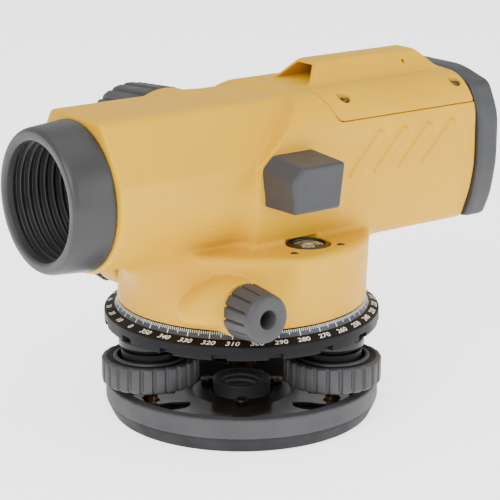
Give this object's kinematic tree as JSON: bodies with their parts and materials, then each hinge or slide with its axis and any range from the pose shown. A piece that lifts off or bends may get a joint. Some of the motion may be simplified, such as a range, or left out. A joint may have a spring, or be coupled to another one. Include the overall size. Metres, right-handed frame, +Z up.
{
  "type": "automatic level",
  "caption": "Surveying level: a self-levelling telescope turns on a graduated circle over a three-screw levelling base that screws to a tripod.",
  "frame": {"origin": "centre of the tripod screw socket at the underside of the base plate, on the vertical standing axis", "axes": "+Z up along the standing axis, +X from the objective towards the eyepiece, +Y towards the focusing knob"},
  "size_m": [0.215, 0.12, 0.1395],
  "materials": {
    "casting": "satin golden-yellow textured paint",
    "grey_plastic": "fine-grained dark grey",
    "knob_plastic": "moulded dark grey",
    "black_paint": "semi-gloss black",
    "base_paint": "powder-coated charcoal",
    "circle_black": "satin black with white graduations",
    "brass": "machined",
    "steel": "machined",
    "spring_steel": "blued and oiled",
    "aluminium": "machined",
    "glass": "polished, coated",
    "mirror_glass": "front-silvered",
    "rubber": "moulded"
  },
  "bodies": {
    "base": {"base_plate": "base_paint", "spring_plate": "spring_steel", "spring_plate_screw_1": "steel", "spring_plate_screw_2": "steel", "spring_plate_screw_3": "steel"},
    "foot_screw_a": {"foot_screw_knob_a": "knob_plastic", "foot_screw_spindle_a": "brass"},
    "foot_screw_b": {"foot_screw_knob_b": "knob_plastic", "foot_screw_spindle_b": "brass"},
    "foot_screw_c": {"foot_screw_knob_c": "knob_plastic", "foot_screw_spindle_c": "brass"},
    "screw_bushes": {"foot_screw_bush_b": "black_paint", "foot_screw_bush_c": "black_paint"},
    "tribrach": {"tribrach_body": "black_paint", "foot_screw_bush_a": "black_paint"},
    "circle": {"circle_ring": "circle_black"},
    "friction_wheel": {"worm_wheel": "brass"},
    "telescope": {"vertical_spindle": "steel", "main_housing": "casting", "top_cover": "casting", "rear_cover": "grey_plastic", "objective_hood": "grey_plastic", "objective_cell": "black_paint", "objective_lens_front": "glass", "objective_lens_rear": "glass", "focus_guide_tube": "aluminium", "focus_bush": "brass", "compensator_frame": "aluminium", "suspension_tape_near": "steel", "suspension_tape_far": "steel", "damping_magnet": "steel", "fixed_prism": "glass", "reticle_cell": "black_paint", "reticle_glass": "glass", "eyepiece_mount": "black_paint", "level_vial_housing": "black_paint", "level_vial": "glass", "level_adjusting_screw_1": "steel", "level_adjusting_screw_2": "steel", "mirror_housing": "grey_plastic", "bubble_mirror": "mirror_glass", "cover_screw_1": "steel", "cover_screw_2": "steel", "cover_screw_3": "steel", "cover_screw_4": "steel", "tangent_bush_near": "brass", "tangent_bush_far": "brass"},
    "tangent_screw": {"tangent_shaft": "steel", "tangent_knob_near": "knob_plastic", "tangent_knob_far": "knob_plastic"},
    "focus_carriage": {"focus_carriage": "brass", "focus_lens": "glass"},
    "focus_drive": {"focus_knob": "knob_plastic", "focus_shaft": "steel"},
    "pendulum": {"compensator_pendulum": "brass", "pendulum_prism": "glass"},
    "eyepiece": {"eyepiece_tube": "black_paint", "eyepiece_lens": "glass"},
    "diopter_ring": {"diopter_ring": "knob_plastic", "eye_cup": "rubber"}
  },
  "joints": [
    {"name": "foot_screw_a_turn", "type": "hinge", "parent": "base", "child": "foot_screw_a", "pos_m": [-0.04124, 0.00463, 0.024], "axis": [0, 0, 1], "range_deg": [-1300, 1300]},
    {"name": "foot_screw_b_turn", "type": "hinge", "parent": "base", "child": "foot_screw_b", "pos_m": [0.01661, -0.03803, 0.024], "axis": [0, 0, 1], "range_deg": [-750, 750]},
    {"name": "foot_screw_c_turn", "type": "hinge", "parent": "base", "child": "foot_screw_c", "pos_m": [0.02463, 0.0334, 0.024], "axis": [0, 0, 1], "range_deg": [-750, 750]},
    {"name": "level_tilt_across", "type": "hinge", "parent": "base", "child": "screw_bushes", "pos_m": [0.02062, -0.00231, 0.035], "axis": [-0.9938, 0.1115, 0], "range_deg": [-2.5, 2.5]},
    {"name": "level_tilt_along", "type": "hinge", "parent": "screw_bushes", "child": "tribrach", "pos_m": [0.02062, -0.00231, 0.035], "axis": [0.1115, 0.9938, 0], "range_deg": [-2.5, 2.5]},
    {"name": "circle_turn", "type": "hinge", "parent": "tribrach", "child": "circle", "pos_m": [0, 0, 0.04], "axis": [0, 0, 1], "continuous": true},
    {"name": "coarse_turn", "type": "hinge", "parent": "tribrach", "child": "friction_wheel", "pos_m": [0, 0, 0.058], "axis": [0, 0, 1], "continuous": true},
    {"name": "fine_turn", "type": "hinge", "parent": "friction_wheel", "child": "telescope", "pos_m": [0, 0, 0.058], "axis": [0, 0, 1], "continuous": true},
    {"name": "tangent_screw_turn", "type": "hinge", "parent": "telescope", "child": "tangent_screw", "pos_m": [-0.0315, 0, 0.058], "axis": [0, 1, 0], "continuous": true},
    {"name": "focus_knob_turn", "type": "hinge", "parent": "telescope", "child": "focus_drive", "pos_m": [-0.018, 0.04, 0.106], "axis": [0, 1, 0], "range_deg": [-127, 127]},
    {"name": "focus_slide", "type": "slide", "parent": "telescope", "child": "focus_carriage", "axis": [1, 0, 0], "range_m": [-0.008, 0.008]},
    {"name": "compensator_swing", "type": "hinge", "parent": "telescope", "child": "pendulum", "pos_m": [0.033, 0, 0.117], "axis": [0, 1, 0], "range_deg": [-0.5, 0.5]},
    {"name": "eyepiece_slide", "type": "slide", "parent": "telescope", "child": "eyepiece", "axis": [1, 0, 0], "range_m": [-0.0012, 0.0012]},
    {"name": "diopter_turn", "type": "hinge", "parent": "eyepiece", "child": "diopter_ring", "pos_m": [0.111, 0, 0.0997], "axis": [1, 0, 0], "range_deg": [-120, 120]}
  ],
  "couplings": [
    {"joint": "foot_screw_c_turn", "follows": "foot_screw_b_turn", "ratio": -1},
    {"joint": "level_tilt_across", "follows": "foot_screw_b_turn", "ratio": -0.0033213},
    {"joint": "level_tilt_along", "follows": "foot_screw_a_turn", "ratio": -0.0019175},
    {"joint": "tangent_screw_turn", "follows": "fine_turn", "ratio": -60},
    {"joint": "focus_slide", "follows": "focus_knob_turn", "m_per_rad": -0.0036},
    {"joint": "diopter_turn", "follows": "eyepiece_slide", "rad_per_m": 1743.6}
  ]
}
